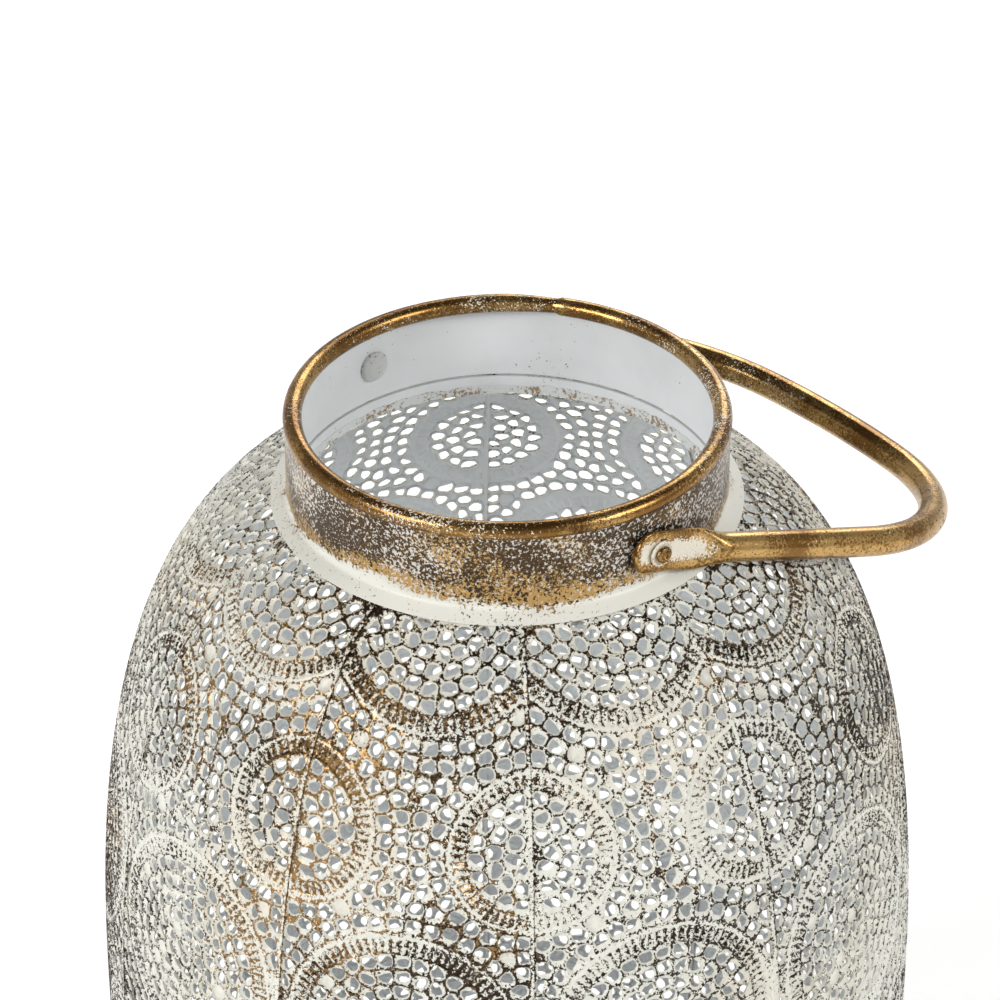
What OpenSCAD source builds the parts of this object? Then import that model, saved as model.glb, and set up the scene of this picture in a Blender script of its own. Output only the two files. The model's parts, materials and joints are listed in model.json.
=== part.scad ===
// Pierced sheet-metal lantern: ten pressed gores lapped into a barrel-shaped body, a rolled
// collar with a wire bead round its mouth, and a tube bail handle riveted to the collar.
// Millimetres. +Z is up, the origin is the middle of the base on the surface it stands on,
// and the handle turns about a line along Y.

/* [Body] */
// Greatest radius of the body
body_r = 120.5; // [110:0.5:132]
// Distance from the belly to where the rounded outline would close on the axis
half_height = 180; // [172:1:188]
// Radius of the body where it meets the base plate
base_r = 75; // [68:1:82]
// Thickness of the pierced sheet
sheet_t = 0.6; // [0.5:0.1:0.9]
// Number of pressed gores round the body
gores = 10; // [8:1:12]
// Width of the strip that each gore tucks under its neighbour, in degrees
lap_angle = 2.2; // [1.5:0.1:3]

/* [Collar] */
// Outer radius of the collar
collar_r = 62; // [58:0.5:66]
// Height from the bead's centre down to the shoulder
collar_h = 24.5; // [24.5:0.5:28]
// Thickness of the collar's sheet
collar_t = 1.2; // [0.8:0.1:1.5]
// Radius that the collar's flared lower edge reaches
flare_r = 66.5; // [66:0.5:72]
// Radius of the wire in the rim bead
bead_r = 2.7; // [2:0.1:3]
// Gap at the joint of the rim bead's wire, in degrees
bead_gap = 0.5; // [0.2:0.1:1]

/* [Handle] */
// Radius of the handle's tube
tube_r = 4.3; // [3.5:0.1:4.5]
// Height of the pivot below the bead's centre
pivot_drop = 13.6; // [12:0.1:14.5]
// Angle of the resting handle below level, in degrees
rest_tilt = 17.7; // [14:0.1:18.2]
// Half the distance between the legs, projected to the pivot
leg_start = 62.9; // [62.2:0.1:63]
// Angle by which each leg splays outwards, in degrees
leg_splay = 7.2; // [6:0.1:9]
// Distance from the pivot to the middle of the crossbar
reach = 136; // [130:1:146]
// Radius of the crossbar's outward arch
arch_r = 180; // [150:1:200]
// Radius of the two corners
corner_r = 54; // [45:1:58]
// Thickness of the flattened ends
tab_t = 2.1; // [1.8:0.1:2.2]

/* [Rivets] */
// Radius of the rivet's shank
shank_r = 2; // [1.8:0.1:2.2]
// Radial clearance of the handle on the shank
pivot_gap = 0.06; // [0.04:0.01:0.09]
// Radius of the domed head inside the collar
head_r = 4.7; // [3.8:0.1:5]
// Radius of the washer outside the handle
washer_r = 3.9; // [3.5:0.1:4.2]

/* [Candle glass] */
// Outer radius of the glass
glass_r = 45; // [38:1:50]
// Height of the glass
glass_h = 110; // [90:1:130]
// Wall thickness of the glass
glass_t = 2.5; // [2:0.1:3.5]

/* [Hidden] */
$fn = 96;

gore_names = [for (i = [1:gores]) str("body_panel_", i < 10 ? "0" : "", i)];

// Colours
cream = [0.86, 0.85, 0.80];
old_gold = [0.72, 0.55, 0.30];
inside_grey = [0.66, 0.68, 0.69];
clear_glass = [0.85, 0.92, 0.95, 0.4];

// The outline is a superellipse: (height / half_height)^2.5 + (radius / body_r)^4 = 1
height_power = 2.5;
radius_power = 4;
function outline_r(phi) = body_r * pow(cos(phi), 2 / radius_power);
function outline_h(phi) = half_height * sign(phi) * pow(abs(sin(phi)), 2 / height_power);
function phi_at_r(r) = acos(pow(r / body_r, radius_power / 2));

// Places along the height
plate_t = 1.2;
neck_edge_r = 62.2;
phi_top = phi_at_r(neck_edge_r);
phi_base = -phi_at_r(base_r);
belly_z = plate_t - outline_h(phi_base);
shoulder_z = belly_z + outline_h(phi_top);
rim_z = shoulder_z + collar_h;
pivot_z = rim_z - pivot_drop;
bead_inset = 2.3;
bead_centre_r = collar_r - bead_inset;

// Points of the outline between two angles, moved in by a distance square to the surface
outline_steps = 30;
function outline_point(phi) = [outline_r(phi), belly_z + outline_h(phi)];
function outline_slope(phi) =
    let (d = 0.4, a = outline_point(phi - d), b = outline_point(phi + d)) (b - a) / norm(b - a);
function outline_in(phi, depth) =
    let (s = outline_slope(phi), p = outline_point(phi)) [p.x - depth * s.y, p.y + depth * s.x];
function outline_run(from, to, depth, steps) =
    [for (k = [0:steps]) outline_in(from + (to - from) * k / steps, depth)];
function reversed(list) = [for (k = [len(list) - 1:-1:0]) list[k]];
// One point of the run is the belly itself, so that the body reaches its full radius
belly_step = round(-phi_base / (phi_top - phi_base) * outline_steps);
function belly_run(from, to, depth) = concat(
    outline_run(from, 0, depth, belly_step),
    [for (p = outline_run(0, to, depth, outline_steps - belly_step)) if (p.y > belly_z + 0.01) p]
);

// Band of sheet that follows the outline, between two depths below its outer face
module outline_band(from, to, outer, inner) {
    polygon(concat(belly_run(from, to, outer), reversed(belly_run(from, to, inner))));
}

module outline_strip(from, to, outer, inner, steps) {
    polygon(concat(outline_run(from, to, outer, steps), reversed(outline_run(from, to, inner, steps))));
}

// Gores: one lapped seam stands under each rivet, on the -Y and +Y sides
gore_angle = 360 / gores;
first_seam = -90;
lap_gap = 0.05;
lap_edge_gap = 0.05;
lap_overrun = 0.2;
lap_end = 6;
joggle_start = 0.1;
joggle_angle = 0.3;
joggle_end = 6.5;

module body_panel(i) {
    strip_out = sheet_t + lap_gap;
    strip_in = strip_out + sheet_t;
    color(cream)
    rotate([0, 0, first_seam + gore_angle * (i - 1)])
    union() {
        rotate_extrude(angle = gore_angle - lap_edge_gap)
            outline_band(phi_base, phi_top, 0, sheet_t);
        // The joggle that steps the sheet down to the strip
        rotate([0, 0, joggle_start])
            rotate_extrude(angle = joggle_angle)
                outline_band(phi_base + joggle_end, phi_top - joggle_end, sheet_t / 2, strip_out + sheet_t / 2);
        rotate([0, 0, -lap_angle])
            rotate_extrude(angle = lap_angle + joggle_start + joggle_angle + lap_overrun)
                outline_band(phi_base + lap_end, phi_top - lap_end, strip_out, strip_in);
    }
}

// Hoops that the gores' cut edges are spot-welded to
hoop_t = 1.2;
hoop_clear = 0.2;
neck_hoop_h = 8;
neck_hoop_top_gap = 0.6;
base_hoop_span = 5.5;

neck_hoop_r = neck_edge_r - sheet_t - 0.1;

module neck_hoop() {
    color(inside_grey)
    translate([0, 0, shoulder_z - neck_hoop_h])
    difference() {
        cylinder(r = neck_hoop_r, h = neck_hoop_h - neck_hoop_top_gap);
        translate([0, 0, -1])
            cylinder(r = neck_hoop_r - hoop_t, h = neck_hoop_h + 2);
    }
}

module base_hoop() {
    color(inside_grey)
    intersection() {
        rotate_extrude()
            outline_strip(phi_base - 1, phi_base + base_hoop_span, sheet_t + hoop_clear,
                sheet_t + hoop_clear + hoop_t, 6);
        translate([0, 0, plate_t])
            cylinder(r = body_r, h = half_height);
    }
}

// Collar: a rolled band whose lower edge flares out over the shoulder
function shoulder_at(r) = outline_point(phi_at_r(r)).y;
flare_lift = 0.03;
flare_steps = 4;

module collar() {
    wall_in = collar_r - collar_t;
    flare_start = collar_r + 0.6;
    function flare_r_at(k) = flare_start + (flare_r - flare_start) * k / flare_steps;
    under = [for (k = [0:flare_steps]) let (r = flare_r_at(k)) [r, shoulder_at(r) + flare_lift]];
    over = [for (k = [flare_steps:-1:0]) let (r = flare_r_at(k))
        [r, shoulder_at(r) + flare_lift + collar_t * (k == 0 ? 1.6 : 1)]];
    color(cream)
    difference() {
        rotate_extrude()
            polygon(concat(
                [[wall_in, rim_z], [wall_in, shoulder_z - 0.3], [neck_edge_r - sheet_t, shoulder_z - 0.3],
                 [collar_r, shoulder_z + flare_lift]],
                under, over, [[collar_r, shoulder_z + 3.2], [collar_r, rim_z]]
            ));
        translate([0, 0, rim_z])
            rotate_extrude()
                translate([bead_centre_r, 0])
                    circle(r = bead_r);
        for (side = [-90, 90])
            rotate([0, 0, side])
                translate([collar_r - 10, 0, pivot_z])
                    rotate([0, 90, 0])
                        cylinder(r = shank_r + 0.02, h = 20);
    }
}

// Rim bead: round wire bent into a ring, with its butt joint between +X and +Y
bead_joint = 36;

module rim_ring() {
    color(old_gold)
    translate([0, 0, rim_z])
        rotate([0, 0, bead_joint + bead_gap / 2])
            rotate_extrude(angle = 360 - bead_gap)
                translate([bead_centre_r, 0])
                    circle(r = bead_r);
}

// Base plate with a raised ring that keeps the candle glass in the middle
plate_r = 77;
locator_in = glass_r + 1.5;
locator_w = 2;
locator_h = 2;

module base_plate() {
    color(cream)
    union() {
        cylinder(r = plate_r, h = plate_t);
        difference() {
            cylinder(r = locator_in + locator_w, h = plate_t + locator_h);
            translate([0, 0, -1])
                cylinder(r = locator_in, h = plate_t + locator_h + 2);
        }
    }
}

// Handle: the path of half the bail in its own plane, u away from the pivot and s to one side
tab_gap = 0.65;
tab_mid = collar_r + tab_gap + tab_t / 2;
tab_end = 9;
tab_round_from = 3.5;
tab_flat = 12;
tab_full = 23;
tab_half_w = 6.3;
leg_dir = [cos(leg_splay), sin(leg_splay)];
leg_in = [sin(leg_splay), -cos(leg_splay)];
arch_centre = [reach - arch_r, 0];
corner_from = [0, leg_start] + corner_r * leg_in - arch_centre;
corner_dot = corner_from * leg_dir;
leg_len = -corner_dot + sqrt(pow(corner_dot, 2) - corner_from * corner_from + pow(arch_r - corner_r, 2));
corner_centre = [0, leg_start] + corner_r * leg_in + leg_len * leg_dir;
corner_a0 = 90 + leg_splay;
arch_a0 = atan2(corner_centre.y, corner_centre.x - arch_centre.x);

function leg_at(u) = [u, max(tab_mid, leg_start + u * tan(leg_splay))];
function arc_at(c, r, a) = c + r * [cos(a), sin(a)];
leg_stations = [-tab_end, -8.3, -6.6, -tab_round_from, 0, 4, 8, 12, 14, 16, 18, 20, 23, 40, 64];
corner_steps = 9;
arch_steps = 8;
half_path = concat(
    [for (u = leg_stations) leg_at(u)],
    [for (k = [0:corner_steps])
        arc_at(corner_centre, corner_r, corner_a0 + (arch_a0 - corner_a0) * k / corner_steps)],
    [for (k = [1:arch_steps]) arc_at(arch_centre, arch_r, arch_a0 * (1 - k / arch_steps))]
);
bail_path = concat(half_path, [for (k = [len(half_path) - 2:-1:0]) [half_path[k].x, -half_path[k].y]]);

// The tube is round, and flattened towards its ends: its two half widths at a place on the path
function ease(x) = let (t = max(0, min(1, x))) t * t * (3 - 2 * t);
function flatness(p) = p.x > tab_full ? 0 : 1 - ease((p.x - tab_flat) / (tab_full - tab_flat));
function end_round(p) =
    let (t = max(0, -tab_round_from - p.x) / (tab_end - tab_round_from + 0.2)) sqrt(max(0.05, 1 - t * t));
function half_across(p) = tube_r + (tab_t / 2 - tube_r) * flatness(p);
function half_wide(p) = (tube_r + (tab_half_w - tube_r) * flatness(p)) * end_round(p);
function path_dir(k) =
    let (a = bail_path[max(0, k - 1)], b = bail_path[min(len(bail_path) - 1, k + 1)]) (b - a) / norm(b - a);

tube_sides = 24;
function squared(v, f) = sign(v) * pow(abs(v), 1 - 0.45 * f);
function tube_ring(k) =
    let (p = bail_path[k], d = path_dir(k), f = flatness(p))
    [for (j = [0:tube_sides - 1]) let (
        a = 360 * j / tube_sides,
        side = half_across(p) * squared(cos(a), f),
        up = half_wide(p) * sin(a)
    ) [p.x + side * d.y, p.y - side * d.x, up]];

module bail_tube() {
    rings = len(bail_path);
    points = [for (k = [0:rings - 1]) each tube_ring(k)];
    sides = [for (k = [0:rings - 2]) for (j = [0:tube_sides - 1])
        let (a = k * tube_sides + j, b = k * tube_sides + (j + 1) % tube_sides)
        each [[a, a + tube_sides, b], [b, a + tube_sides, b + tube_sides]]];
    first_cap = [for (j = [0:tube_sides - 1]) j];
    last_cap = [for (j = [tube_sides - 1:-1:0]) (rings - 1) * tube_sides + j];
    polyhedron(points = points, faces = concat([first_cap], sides, [last_cap]));
}

module handle() {
    color(old_gold)
    translate([0, 0, pivot_z])
        rotate([0, rest_tilt, 0])
            difference() {
                bail_tube();
                rotate([90, 0, 0])
                    cylinder(r = shank_r + pivot_gap, h = 3 * collar_r, center = true);
            }
}

// Rivets: a dome inside the collar, a shank through collar and handle, and a rolled nub outside
tab_out = tab_mid + tab_t / 2;
washer_gap = 0.15;
washer_t = 0.6;
nub_r = 2.6;
nub_h = 1.1;
recess_r = 1.2;
recess_depth = 0.5;
dome_h = 2.2;
head_seat = sqrt(pow(collar_r - collar_t, 2) - pow(head_r, 2)) - 0.02;

module rivet(side) {
    dome_r = (pow(head_r, 2) + pow(dome_h, 2)) / (2 * dome_h);
    nub_base = tab_out + washer_gap + washer_t;
    color(cream)
    rotate([0, 0, side])
        translate([0, 0, pivot_z])
            rotate([0, 90, 0])
                difference() {
                    union() {
                        translate([0, 0, head_seat - 1])
                            cylinder(r = shank_r, h = nub_base - head_seat + 1.5);
                        translate([0, 0, nub_base])
                            cylinder(r = nub_r, h = nub_h);
                        intersection() {
                            translate([0, 0, head_seat - dome_h + dome_r])
                                sphere(r = dome_r);
                            translate([0, 0, head_seat - 2 * dome_h])
                                cylinder(r = head_r + 1, h = 2 * dome_h);
                        }
                    }
                    translate([0, 0, nub_base + nub_h - recess_depth])
                        cylinder(r = recess_r, h = nub_h);
                }
}

module washer(side) {
    color(cream)
    rotate([0, 0, side])
        translate([0, 0, pivot_z])
            rotate([0, 90, 0])
                translate([0, 0, tab_out + washer_gap])
                    difference() {
                        cylinder(r = washer_r, h = washer_t - 0.01);
                        translate([0, 0, -1])
                            cylinder(r = shank_r + 0.02, h = washer_t + 2);
                    }
}

// Candle glass: an open tumbler that stands on the base plate
glass_floor = 5;
glass_lift = 0.05;

module candle_glass() {
    color(clear_glass)
    translate([0, 0, plate_t + glass_lift])
        difference() {
            cylinder(r = glass_r, h = glass_h);
            translate([0, 0, glass_floor])
                cylinder(r = glass_r - glass_t, h = glass_h);
        }
}

for (i = [1:gores]) body_panel(i);
neck_hoop();
collar();
rim_ring();
base_hoop();
base_plate();
rivet(-90);  // rivet_front
rivet(90);  // rivet_back
washer(-90);  // washer_front
washer(90);  // washer_back
handle();
candle_glass();
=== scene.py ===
import json
import math
import random

import bpy
import numpy as np
from mathutils import Matrix, Vector
from mathutils.geometry import delaunay_2d_cdt


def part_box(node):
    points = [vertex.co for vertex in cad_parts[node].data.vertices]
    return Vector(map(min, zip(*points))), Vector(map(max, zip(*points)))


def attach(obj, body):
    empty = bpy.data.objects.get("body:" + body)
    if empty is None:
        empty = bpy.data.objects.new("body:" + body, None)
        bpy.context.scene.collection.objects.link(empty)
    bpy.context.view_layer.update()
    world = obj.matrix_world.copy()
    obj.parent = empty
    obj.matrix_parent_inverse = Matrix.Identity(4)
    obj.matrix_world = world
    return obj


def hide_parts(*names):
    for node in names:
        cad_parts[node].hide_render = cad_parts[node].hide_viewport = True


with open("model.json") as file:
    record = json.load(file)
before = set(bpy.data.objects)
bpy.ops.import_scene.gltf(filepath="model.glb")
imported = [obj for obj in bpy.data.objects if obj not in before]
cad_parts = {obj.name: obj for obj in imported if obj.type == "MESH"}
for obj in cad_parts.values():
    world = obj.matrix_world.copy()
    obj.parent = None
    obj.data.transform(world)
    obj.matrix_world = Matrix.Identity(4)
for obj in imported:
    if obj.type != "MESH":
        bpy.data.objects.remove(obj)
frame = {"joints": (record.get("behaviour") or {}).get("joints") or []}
bpy.ops.object.select_all(action="DESELECT")
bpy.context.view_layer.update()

MM = 0.001
FULL_TURN = 2 * math.pi

# ---------------------------------------------------------------------------------------------
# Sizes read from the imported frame, and the few that shape the looks
# ---------------------------------------------------------------------------------------------
bead_low, bead_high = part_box("rim_ring")
rim_z = (bead_low.z + bead_high.z) / 2
bead_r = (bead_high.z - bead_low.z) / 2
bead_centre_r = bead_high.x - bead_r

collar_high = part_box("collar")[1]
flare_r = collar_high.x
collar_r = 62.0 * MM
collar_t = 1.2 * MM

plate_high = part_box("base_plate")[1]
plate_r = plate_high.x
plate_t = 1.2 * MM

GORES = 10
gore_nodes = [f"body_panel_{i:02d}" for i in range(1, GORES + 1)]
gore_boxes = [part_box(name) for name in gore_nodes]
sheet_r = max(high.x for low, high in gore_boxes)
sheet_top = max(high.z for low, high in gore_boxes)
sheet_foot = min(low.z for low, high in gore_boxes)

pivot = Vector(next(j for j in frame["joints"] if j["name"] == "handle_swing")["pos_m"])


# ---------------------------------------------------------------------------------------------
# Camera, floor and light
# ---------------------------------------------------------------------------------------------
VIEW_TURN = math.radians(-39.6)
VIEW_DOWN = math.radians(33.2)
CAMERA_AWAY = 18.0 * collar_r
CAMERA_LEFT = 0.0335 * collar_r
CAMERA_BELOW = 0.394 * collar_r
LENS_MM = 144.9
WALL_BRIGHT = 0.52
CEILING_BRIGHT = 0.07
FLOOR_GLOW = 0.36
FLOOR_GAP = 0.1 * MM
INNER_FILL = 0.14
KEY_WATTS = 29
FILL_WATTS = 22
BACK_WATTS = 13


def make_camera():
    turn = Matrix.Rotation(VIEW_TURN, 3, "Z")
    right = turn @ Vector((1, 0, 0))
    forward = turn @ Vector((0, math.cos(VIEW_DOWN), -math.sin(VIEW_DOWN)))
    up = turn @ Vector((0, math.sin(VIEW_DOWN), math.cos(VIEW_DOWN)))
    place = Vector((0, 0, rim_z)) - forward * CAMERA_AWAY - right * CAMERA_LEFT - up * CAMERA_BELOW
    data = bpy.data.cameras.new("camera")
    data.lens = LENS_MM
    camera = bpy.data.objects.new("camera", data)
    bpy.context.scene.collection.objects.link(camera)
    camera.matrix_world = Matrix.Translation(place) @ Matrix((right, up, -forward)).transposed().to_4x4()
    bpy.context.scene.camera = camera


def area_light(name, place, aim, size, power):
    data = bpy.data.lights.new(name, "AREA")
    data.shape = "DISK"
    data.size = size
    data.energy = power
    lamp = bpy.data.objects.new(name, data)
    bpy.context.scene.collection.objects.link(lamp)
    lamp.location = place
    lamp.rotation_euler = (Vector(aim) - Vector(place)).to_track_quat("-Z", "Y").to_euler()


def make_studio():
    turn = Matrix.Rotation(VIEW_TURN, 3, "Z")
    middle = (0, 0, 0.25)
    area_light("key light", turn @ Vector((-1.5, -1.1, 1.4)), middle, 0.8, KEY_WATTS)
    area_light("fill light", turn @ Vector((1.6, -0.8, 1.5)), middle, 0.9, FILL_WATTS)
    area_light("back light", turn @ Vector((0.5, 1.7, 1.3)), middle, 1.2, BACK_WATTS)
    inner = bpy.data.lights.new("light bounced inside", "POINT")
    inner.energy = INNER_FILL
    inner.shadow_soft_size = 0.02
    bulb = bpy.data.objects.new("light bounced inside", inner)
    bpy.context.scene.collection.objects.link(bulb)
    bulb.location = (0, 0, 0.21)
    bulb.visible_camera = False
    bulb.visible_glossy = False

    world = bpy.data.worlds.new("studio")
    world.use_nodes = True
    tree = Tree(world.node_tree)
    up = tree.add("ShaderNodeSeparateXYZ", {"Vector": tree.add("ShaderNodeTexCoord").outputs["Generated"]})
    sky = world.node_tree.nodes["Background"]
    sky.inputs["Color"].default_value = (1, 1, 1, 1)
    ceiling = tree.ramp(up.outputs["Z"], 0.34, 0.8)
    dimming = tree.sum("MULTIPLY", ceiling, WALL_BRIGHT - CEILING_BRIGHT)
    tree.put(sky.inputs["Strength"], tree.sum("SUBTRACT", WALL_BRIGHT, dimming))
    bpy.context.scene.world = world

    bpy.ops.mesh.primitive_plane_add(size=60, location=(0, 0, -FLOOR_GAP))
    floor = bpy.context.object
    floor.name = "floor"
    paper = bpy.data.materials.new("floor paper")
    paper.use_nodes = True
    shader = paper.node_tree.nodes["Principled BSDF"]
    shader.inputs["Base Color"].default_value = (0.9, 0.9, 0.9, 1)
    shader.inputs["Roughness"].default_value = 0.9
    shader.inputs["Emission Color"].default_value = (1, 1, 1, 1)
    shader.inputs["Emission Strength"].default_value = FLOOR_GLOW
    floor.data.materials.append(paper)
    bpy.context.scene.view_settings.view_transform = "Standard"


# ---------------------------------------------------------------------------------------------
# Materials
# ---------------------------------------------------------------------------------------------
def paint(red, green, blue):
    """A colour given as on a paint card, 0 to 255, in the shader's linear values."""
    def linear(c):
        c /= 255
        return c / 12.92 if c <= 0.04045 else ((c + 0.055) / 1.055) ** 2.4
    return (linear(red), linear(green), linear(blue), 1.0)


class Tree:
    """Short names for adding and wiring nodes in one node tree."""

    def __init__(self, tree):
        self.tree = tree

    def add(self, kind, values=(), **settings):
        made = self.tree.nodes.new(kind)
        for key, value in settings.items():
            setattr(made, key, value)
        for key, value in dict(values).items():
            self.put(made.inputs[key], value)
        return made

    def put(self, socket, value):
        if isinstance(value, bpy.types.NodeSocket):
            self.tree.links.new(value, socket)
        else:
            socket.default_value = value

    def sum(self, kind, a, b, clamp=False):
        made = self.tree.nodes.new("ShaderNodeMath")
        made.operation = kind
        made.use_clamp = clamp
        self.put(made.inputs[0], a)
        self.put(made.inputs[1], b)
        return made.outputs[0]

    def ramp(self, value, low, high):
        made = self.add("ShaderNodeMapRange", {"Value": value, "From Min": low, "From Max": high})
        made.interpolation_type = "SMOOTHSTEP"
        return made.outputs[0]

    def blend(self, factor, a, b, kind="MIX"):
        made = self.tree.nodes.new("ShaderNodeMix")
        made.data_type = "RGBA"
        made.blend_type = kind
        self.put(made.inputs[0], factor)
        self.put(made.inputs[6], a)
        self.put(made.inputs[7], b)
        return made.outputs[2]

    def noise(self, vector, scale, detail=3.0, rough=0.6):
        made = self.add("ShaderNodeTexNoise",
                        {"Vector": vector, "Scale": scale, "Detail": detail, "Roughness": rough})
        return made.outputs["Fac"]


def new_group(name, inputs, outputs):
    group = bpy.data.node_groups.new(name, "ShaderNodeTree")
    for label, kind, value in inputs:
        socket = group.interface.new_socket(label, in_out="INPUT", socket_type=kind)
        if value is not None:
            socket.default_value = value
    for label, kind in outputs:
        group.interface.new_socket(label, in_out="OUTPUT", socket_type=kind)
    tree = Tree(group)
    return tree, tree.add("NodeGroupInput").outputs, tree.add("NodeGroupOutput").inputs


def make_rub_group():
    """Where a rubbed-back finish lets the layer below show: blotches, the raised work and fine flecks."""
    tree, given, result = new_group(
        "rubbed back",
        [("Vector", "NodeSocketVector", None), ("Raised", "NodeSocketFloat", 0.0),
         ("Raised Weight", "NodeSocketFloat", 0.5), ("Blotch Scale", "NodeSocketFloat", 30.0),
         ("Blotch Weight", "NodeSocketFloat", 0.8), ("Fleck Scale", "NodeSocketFloat", 900.0),
         ("Fleck Weight", "NodeSocketFloat", 1.2), ("Bias", "NodeSocketFloat", 0.0),
         ("Edge", "NodeSocketFloat", 0.06)],
        [("Mask", "NodeSocketFloat"), ("Blotch", "NodeSocketFloat")])
    blotch = tree.noise(given["Vector"], given["Blotch Scale"], 4.0, 0.62)
    fleck = tree.noise(given["Vector"], given["Fleck Scale"], 2.5, 0.7)
    middle_blotch = tree.sum("SUBTRACT", blotch, 0.5)
    middle_fleck = tree.sum("SUBTRACT", fleck, 0.5)
    amount = tree.sum("MULTIPLY", middle_blotch, given["Blotch Weight"])
    amount = tree.sum("ADD", amount, tree.sum("MULTIPLY", middle_fleck, given["Fleck Weight"]))
    amount = tree.sum("ADD", amount, tree.sum("MULTIPLY", given["Raised"], given["Raised Weight"]))
    amount = tree.sum("ADD", amount, given["Bias"])
    edge = given["Edge"]
    below = tree.sum("MULTIPLY", edge, -1.0)
    tree.put(result["Mask"], tree.ramp(amount, below, edge))
    tree.put(result["Blotch"], blotch)
    return tree.tree


def make_old_metal_group():
    """The metal under the wash: gold rubbed bright in places and burnt to dark brown in others."""
    tree, given, result = new_group(
        "burnt gold",
        [("Vector", "NodeSocketVector", None), ("Gold", "NodeSocketColor", None),
         ("Brown", "NodeSocketColor", None), ("Bias", "NodeSocketFloat", 0.0),
         ("Scale", "NodeSocketFloat", 60.0)],
        [("Color", "NodeSocketColor"), ("Gold Part", "NodeSocketFloat")])
    wide = tree.noise(given["Vector"], given["Scale"], 3.0, 0.6)
    fine = tree.noise(given["Vector"], 1300.0, 2.0, 0.6)
    amount = tree.sum("ADD", wide, tree.sum("MULTIPLY", tree.sum("SUBTRACT", fine, 0.5), 0.9))
    amount = tree.sum("ADD", amount, given["Bias"])
    part = tree.ramp(amount, 0.40, 0.60)
    tree.put(result["Color"], tree.blend(part, given["Brown"], given["Gold"]))
    tree.put(result["Gold Part"], part)
    return tree.tree


CREAM = paint(224, 223, 213)
WARM_CREAM = paint(226, 220, 204)
GOLD = paint(146, 112, 62)
BROWN = paint(44, 32, 19)
BRASS = paint(190, 154, 96)
# The inner grey paint, a little darker than the collar's inner grey: the paint's colour with painted shade
# for the body's shaded inside
INNER_GREY_SHADED = paint(207, 210, 211)
COLLAR_GREY = paint(212, 214, 215)
# Rivet heads: the collar's inner grey made darker, as painted shade on the domes
RIVET_SHADE_GREY = paint(190, 191, 188)

# How bare and how golden the body is on the whole, and how far broad patches stray from that
BODY_RUB = -0.62
BODY_GOLD = -0.20
RUB_STRAY = 0.9
GOLD_STRAY = 1.2

rub_group = make_rub_group()
metal_group = make_old_metal_group()


def new_material(name):
    made = bpy.data.materials.new(name)
    made.use_nodes = True
    tree = Tree(made.node_tree)
    shader = made.node_tree.nodes["Principled BSDF"]
    place = tree.add("ShaderNodeTexCoord").outputs["Object"]
    return made, tree, shader, place


def rubbed(tree, place, **values):
    made = tree.add("ShaderNodeGroup", node_tree=rub_group)
    tree.put(made.inputs["Vector"], place)
    for key, value in values.items():
        tree.put(made.inputs[key.replace("_", " ").title()], value)
    return made


def old_metal(tree, place, gold, brown, bias, scale):
    made = tree.add("ShaderNodeGroup", node_tree=metal_group)
    values = {"Vector": place, "Gold": gold, "Brown": brown, "Bias": bias, "Scale": scale}
    for key, value in values.items():
        tree.put(made.inputs[key], value)
    return made


def washed_gore_material():
    """Cream wash over burnt gold, rubbed back along the raised work."""
    made, tree, shader, place = new_material("cream wash on pierced sheet")
    raised = tree.add("ShaderNodeAttribute", attribute_name="raised").outputs["Fac"]
    bare_patch = tree.sum("SUBTRACT", tree.noise(place, 9.0, 1.0), 0.5)
    gold_patch = tree.sum("SUBTRACT", tree.noise(place, 6.5, 1.0), 0.5)
    rub = tree.sum("ADD", BODY_RUB, tree.sum("MULTIPLY", bare_patch, RUB_STRAY))
    gold = tree.sum("ADD", BODY_GOLD, tree.sum("MULTIPLY", gold_patch, GOLD_STRAY))
    cover = rubbed(tree, place, raised=raised, raised_weight=0.82, blotch_scale=22.0, blotch_weight=1.8,
                   fleck_scale=1150.0, fleck_weight=3.1, bias=rub, edge=0.06)
    metal = old_metal(tree, place, GOLD, BROWN, gold, 20.0)
    warm = tree.ramp(tree.noise(place, 18.0, 2.0), 0.45, 0.62)
    wash = tree.blend(warm, CREAM, WARM_CREAM)
    grain = tree.noise(place, 700.0, 3.0)
    wash = tree.blend(tree.ramp(grain, 0.35, 0.75), wash, paint(210, 208, 196))
    color = tree.blend(cover.outputs["Mask"], wash, metal.outputs["Color"])
    tree.put(shader.inputs["Base Color"], color)
    tree.put(shader.inputs["Metallic"], tree.sum("MULTIPLY", cover.outputs["Mask"], 0.55))
    polish = tree.sum("MULTIPLY", cover.outputs["Mask"], 0.12)
    tree.put(shader.inputs["Roughness"], tree.sum("SUBTRACT", 0.42, polish))
    bump = tree.add("ShaderNodeBump", {"Height": grain, "Strength": 0.25, "Distance": 0.0002})
    tree.put(shader.inputs["Normal"], bump.outputs["Normal"])
    return made


def inner_paint_material(name, color, speck_bias):
    """Matt grey paint with fine dust and a few dark specks."""
    made, tree, shader, place = new_material(name)
    speck = rubbed(tree, place, raised_weight=0.0, blotch_scale=40.0, blotch_weight=0.8,
                   fleck_scale=900.0, fleck_weight=1.6, bias=speck_bias, edge=0.03)
    cloud = tree.ramp(tree.noise(place, 35.0, 3.0), 0.3, 0.75)
    shade = tree.blend(cloud, color, tuple(0.9 * c for c in color[:3]) + (1.0,))
    tree.put(shader.inputs["Base Color"], tree.blend(speck.outputs["Mask"], shade, paint(96, 84, 66)))
    grain = tree.noise(place, 900.0, 2.0)
    tree.put(shader.inputs["Roughness"], tree.ramp(grain, -1.2, 1.6))
    bump = tree.add("ShaderNodeBump", {"Height": grain, "Strength": 0.2, "Distance": 0.0001})
    tree.put(shader.inputs["Normal"], bump.outputs["Normal"])
    return made


def height_of(tree, place):
    return tree.add("ShaderNodeSeparateXYZ", {"Vector": place}).outputs["Z"]


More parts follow.
